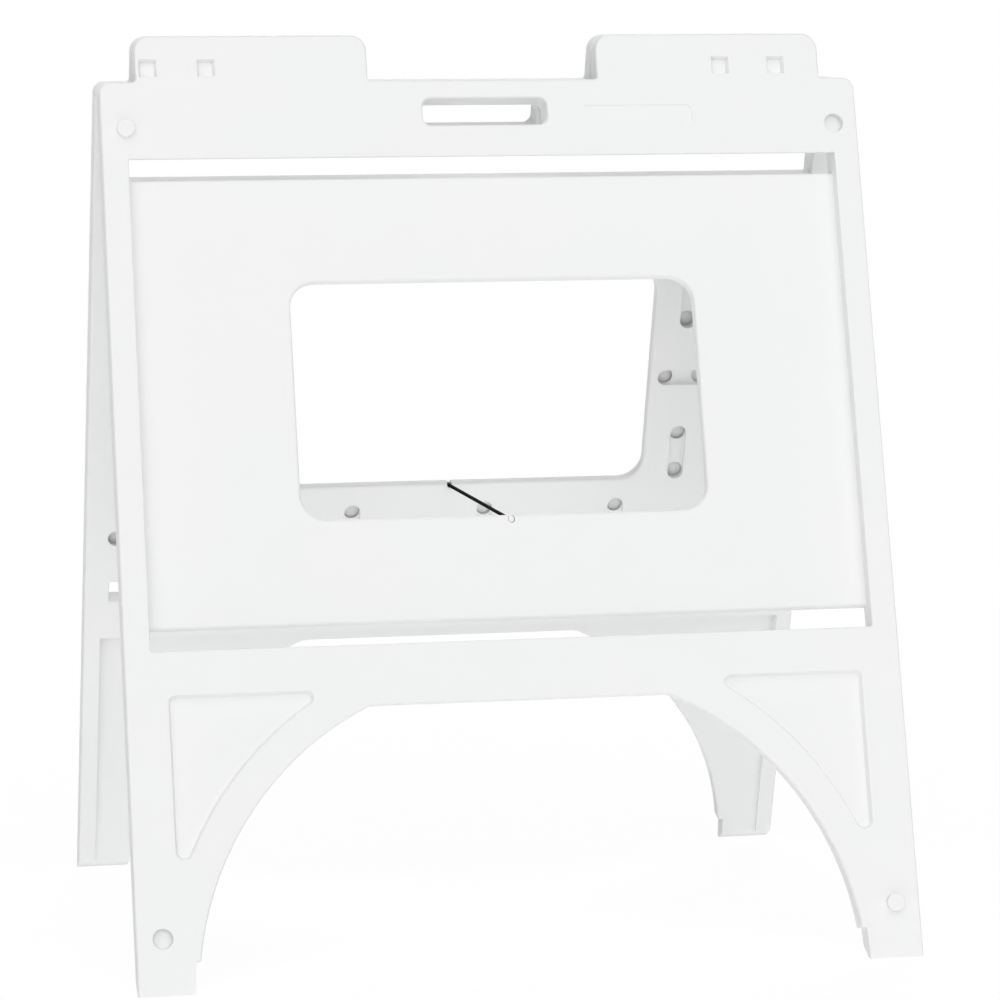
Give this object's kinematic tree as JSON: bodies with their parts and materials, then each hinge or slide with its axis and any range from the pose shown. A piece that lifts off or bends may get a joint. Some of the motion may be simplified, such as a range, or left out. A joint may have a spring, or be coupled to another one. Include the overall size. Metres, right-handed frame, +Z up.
{
  "type": "a-frame sign",
  "caption": "Folding A-frame road sign of moulded plastic: hinged leaning halves with recessed panels, arched feet, hand slots and a spreader cord.",
  "frame": {"origin": "centre of the footprint, on the floor", "axes": "+Z up, +X across the sign, front half faces -Y"},
  "size_m": [0.635, 0.4786, 0.7364],
  "materials": {
    "white_polyethylene": "white polyethylene with a soft sheen, as it leaves the mould",
    "zinc_steel": "zinc plated steel",
    "black_cord": "black braided cord",
    "grey_plastic": "light grey moulded plastic"
  },
  "bodies": {
    "front": {"front_half": "white_polyethylene", "hinge_pin_left": "zinc_steel", "hinge_pin_right": "zinc_steel", "pin_retainer_left": "zinc_steel", "pin_retainer_right": "zinc_steel", "spreader_cord": "black_cord", "cord_stop_front": "grey_plastic"},
    "rear": {"rear_half": "white_polyethylene", "cord_stop_rear": "grey_plastic"}
  },
  "joints": [
    {"name": "fold", "type": "hinge", "parent": "front", "child": "rear", "pos_m": [0, 0, 0.69187], "axis": [-1, 0, 0], "range_deg": [0, 35], "deforming": ["spreader_cord"]}
  ]
}
